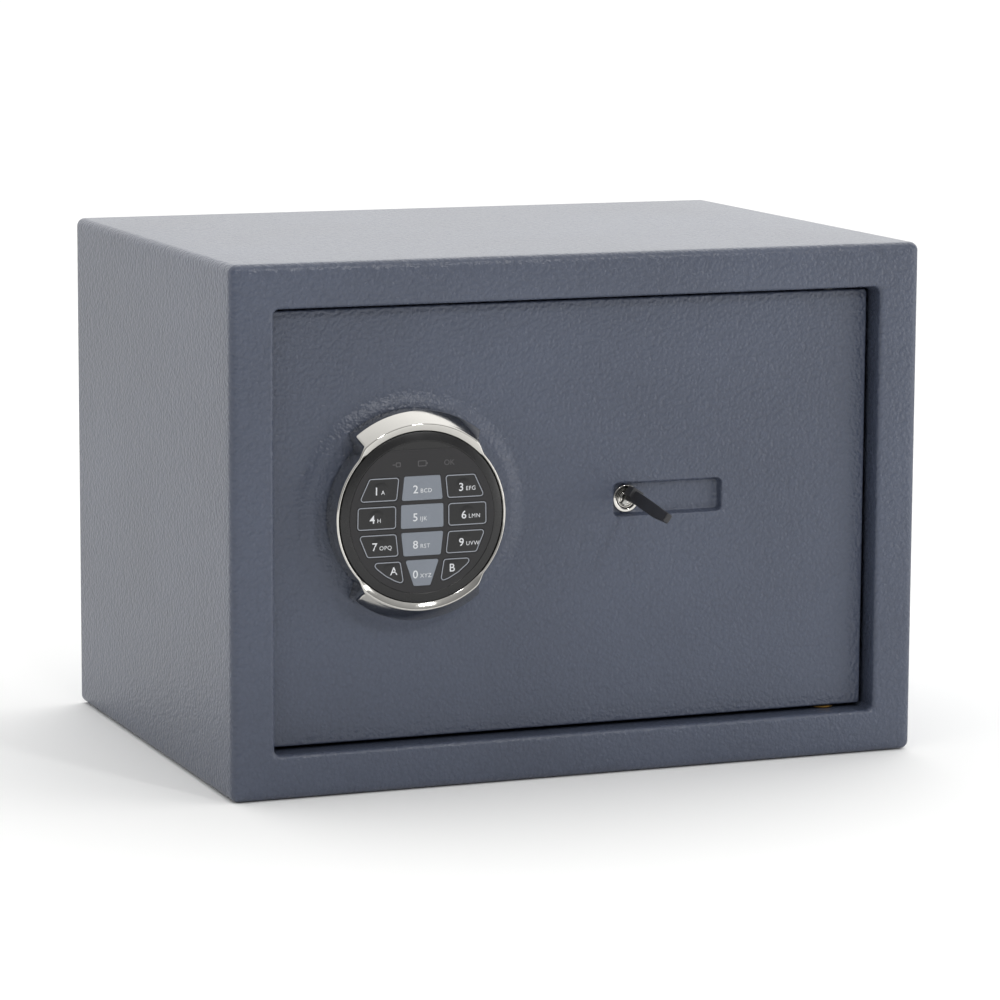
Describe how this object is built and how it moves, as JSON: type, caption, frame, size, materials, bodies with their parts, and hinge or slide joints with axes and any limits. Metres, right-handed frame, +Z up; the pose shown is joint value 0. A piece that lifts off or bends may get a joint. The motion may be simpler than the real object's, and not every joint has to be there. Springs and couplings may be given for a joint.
{
  "type": "electronic safe",
  "caption": "Compact electronic safe: powder-coated steel box with a recessed hinged door, a chromed turning ring round an upright keypad, round bolts and an emergency key lock.",
  "frame": {"origin": "centre of the steel body's underside, between its front and rear faces", "axes": "+X to the right seen from the front, +Y towards the back (the door faces -Y), +Z up"},
  "size_m": [0.35, 0.2886, 0.25],
  "materials": {
    "powder_coat": "satin powder coat with fine orange-peel texture, dark blue-grey",
    "zinc_steel": "bright zinc plate",
    "chrome": "polished chrome plate",
    "black_plastic": "fine satin moulding",
    "pad_black": "matte printed film",
    "pad_grey": "matte printed film",
    "brass": "turned",
    "circuit_board": "solder mask",
    "felt": "needled felt",
    "red_plastic": "gloss moulding",
    "cell_sleeve": "shrink sleeve"
  },
  "bodies": {
    "root": {"body_shell": "powder_coat", "rear_panel": "powder_coat", "floor_mat": "felt", "hinge_washer": "brass"},
    "door": {"door_plate": "powder_coat", "pocket_plate": "powder_coat", "hinge_block_bottom": "zinc_steel", "hinge_block_top": "zinc_steel", "hinge_pin_bottom": "zinc_steel", "hinge_pin_top": "zinc_steel", "door_frame": "powder_coat", "inner_cover": "powder_coat", "cover_screw_1": "zinc_steel", "cover_screw_2": "zinc_steel", "cover_screw_3": "zinc_steel", "cover_screw_4": "zinc_steel", "spindle_bush": "brass", "keypad_housing": "black_plastic", "keypad_fascia": "black_plastic", "keypad_board": "circuit_board", "keypad_bracket": "zinc_steel", "stem_nut": "zinc_steel", "keypad_cable": "black_plastic", "guide_post_upper": "zinc_steel", "guide_post_lower": "zinc_steel", "solenoid_frame": "zinc_steel", "solenoid_coil": "black_plastic", "lock_barrel": "chrome", "lock_nut": "zinc_steel", "control_board": "circuit_board", "battery_tray": "black_plastic", "battery_1": "cell_sleeve", "battery_2": "cell_sleeve", "battery_3": "cell_sleeve", "battery_4": "cell_sleeve"},
    "ring": {"dial_ring": "chrome", "crank_plate": "zinc_steel", "spindle_circlip": "zinc_steel"},
    "bolts": {"bolt_bar": "zinc_steel", "bolt_upper": "zinc_steel", "bolt_lower": "zinc_steel"},
    "plunger": {"solenoid_plunger": "zinc_steel"},
    "plug": {"lock_plug": "chrome", "lock_cam": "zinc_steel"},
    "key": {"key_blade": "zinc_steel", "key_grip": "black_plastic"},
    "reset": {"reset_button": "red_plastic"},
    "battery_lid": {"battery_cover": "black_plastic"},
    "pad_1": {"pad_key_1": "pad_black"},
    "pad_2": {"pad_key_2": "pad_grey"},
    "pad_3": {"pad_key_3": "pad_black"},
    "pad_4": {"pad_key_4": "pad_black"},
    "pad_5": {"pad_key_5": "pad_grey"},
    "pad_6": {"pad_key_6": "pad_black"},
    "pad_7": {"pad_key_7": "pad_black"},
    "pad_8": {"pad_key_8": "pad_grey"},
    "pad_9": {"pad_key_9": "pad_black"},
    "pad_A": {"pad_key_A": "pad_black"},
    "pad_0": {"pad_key_0": "pad_grey"},
    "pad_B": {"pad_key_B": "pad_black"}
  },
  "joints": [
    {"name": "door_hinge", "type": "hinge", "parent": "root", "child": "door", "pos_m": [0.1345, -0.107, 0.125], "axis": [0, 0, 1], "range_deg": [0, 100]},
    {"name": "ring_turn", "type": "hinge", "parent": "door", "child": "ring", "pos_m": [-0.084, -0.12, 0.1305], "axis": [0, -1, 0], "range_deg": [0, 90]},
    {"name": "bolt_throw", "type": "slide", "parent": "door", "child": "bolts", "axis": [-1, 0, 0], "range_m": [0, 0.017]},
    {"name": "plunger_drop", "type": "slide", "parent": "door", "child": "plunger", "axis": [0, 0, -1], "range_m": [0, 0.0055]},
    {"name": "lock_turn", "type": "hinge", "parent": "door", "child": "plug", "pos_m": [0.0275, -0.1, 0.1305], "axis": [0, 1, 0], "range_deg": [0, 90]},
    {"name": "key_pull", "type": "slide", "parent": "plug", "child": "key", "axis": [0, -1, 0], "range_m": [0, 0.018]},
    {"name": "reset_press", "type": "slide", "parent": "door", "child": "reset", "axis": [0, -1, 0], "range_m": [0, 0.001], "stiffness_N_per_m": 800},
    {"name": "battery_lid_slide", "type": "slide", "parent": "door", "child": "battery_lid", "axis": [0, 0, -1], "range_m": [0, 0.015]},
    {"name": "pad_press_1", "type": "slide", "parent": "door", "child": "pad_1", "axis": [0, 1, 0], "range_m": [0, 0.0005], "stiffness_N_per_m": 1000},
    {"name": "pad_press_2", "type": "slide", "parent": "door", "child": "pad_2", "axis": [0, 1, 0], "range_m": [0, 0.0005], "stiffness_N_per_m": 1000},
    {"name": "pad_press_3", "type": "slide", "parent": "door", "child": "pad_3", "axis": [0, 1, 0], "range_m": [0, 0.0005], "stiffness_N_per_m": 1000},
    {"name": "pad_press_4", "type": "slide", "parent": "door", "child": "pad_4", "axis": [0, 1, 0], "range_m": [0, 0.0005], "stiffness_N_per_m": 1000},
    {"name": "pad_press_5", "type": "slide", "parent": "door", "child": "pad_5", "axis": [0, 1, 0], "range_m": [0, 0.0005], "stiffness_N_per_m": 1000},
    {"name": "pad_press_6", "type": "slide", "parent": "door", "child": "pad_6", "axis": [0, 1, 0], "range_m": [0, 0.0005], "stiffness_N_per_m": 1000},
    {"name": "pad_press_7", "type": "slide", "parent": "door", "child": "pad_7", "axis": [0, 1, 0], "range_m": [0, 0.0005], "stiffness_N_per_m": 1000},
    {"name": "pad_press_8", "type": "slide", "parent": "door", "child": "pad_8", "axis": [0, 1, 0], "range_m": [0, 0.0005], "stiffness_N_per_m": 1000},
    {"name": "pad_press_9", "type": "slide", "parent": "door", "child": "pad_9", "axis": [0, 1, 0], "range_m": [0, 0.0005], "stiffness_N_per_m": 1000},
    {"name": "pad_press_A", "type": "slide", "parent": "door", "child": "pad_A", "axis": [0, 1, 0], "range_m": [0, 0.0005], "stiffness_N_per_m": 1000},
    {"name": "pad_press_0", "type": "slide", "parent": "door", "child": "pad_0", "axis": [0, 1, 0], "range_m": [0, 0.0005], "stiffness_N_per_m": 1000},
    {"name": "pad_press_B", "type": "slide", "parent": "door", "child": "pad_B", "axis": [0, 1, 0], "range_m": [0, 0.0005], "stiffness_N_per_m": 1000}
  ],
  "couplings": [
    {"joint": "bolt_throw", "follows": "ring_turn", "m_per_rad": 0.01082}
  ]
}
